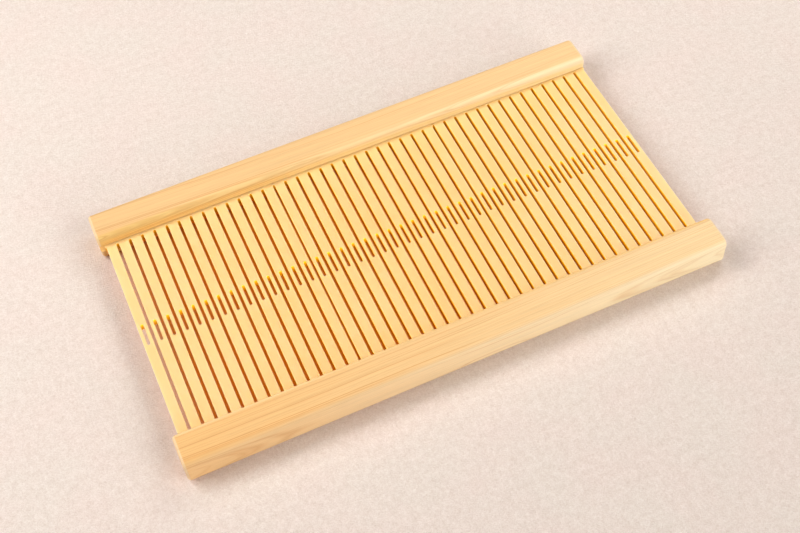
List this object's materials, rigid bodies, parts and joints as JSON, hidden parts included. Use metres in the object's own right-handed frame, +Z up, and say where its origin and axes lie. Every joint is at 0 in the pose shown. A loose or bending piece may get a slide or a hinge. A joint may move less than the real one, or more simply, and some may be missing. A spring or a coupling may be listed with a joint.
{
  "type": "rigid heddle reed",
  "caption": "Rigid heddle reed for a small weaving loom: moulded combs of eyed slats held in two grooved wooden rails.",
  "frame": {"origin": "under the middle of the reed, on the surface it lies on", "axes": "+X along the rails towards the end where the far rail is shorter, +Y across the reed from the near rail to the far rail, +Z up out of the reed's face"},
  "size_m": [0.2146, 0.1198, 0.013],
  "materials": {
    "rail_wood": "smooth sanded softwood, unvarnished",
    "comb_plastic": "satin, slightly translucent"
  },
  "bodies": {
    "root": {"near_rail": "rail_wood", "far_rail": "rail_wood", "comb_left": "comb_plastic", "comb_middle": "comb_plastic", "comb_right": "comb_plastic"}
  },
  "joints": []
}
